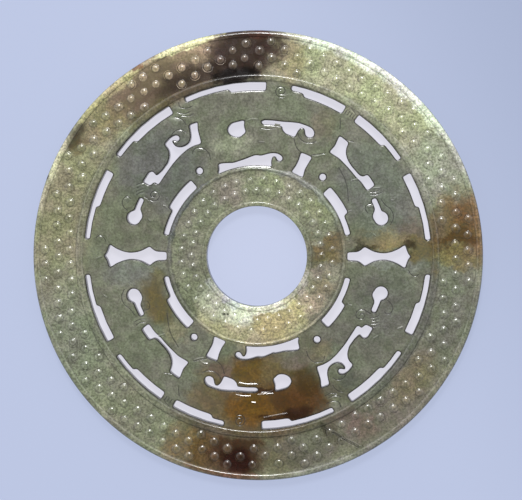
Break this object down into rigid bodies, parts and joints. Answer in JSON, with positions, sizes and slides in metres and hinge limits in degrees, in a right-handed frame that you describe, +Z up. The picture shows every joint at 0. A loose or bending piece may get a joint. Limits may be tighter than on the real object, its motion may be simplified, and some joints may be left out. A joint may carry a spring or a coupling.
{
  "type": "jade bi disc",
  "caption": "Flat round disc of carved jade with a round bore, two bands of raised grains and an openwork ring of long scrolling beasts between them.",
  "frame": {"origin": "middle of the underside, on the surface the disc lies on", "axes": "+X to the right of the carved face, +Y to the top of the carved face, +Z up out of the carved face"},
  "size_m": [0.15, 0.15, 0.005],
  "materials": {
    "jade": "polished grey-green nephrite, waxy and slightly translucent, with dark brown and ochre stains from burial"
  },
  "bodies": {
    "root": {"jade_bi_disc": "jade"}
  },
  "joints": []
}
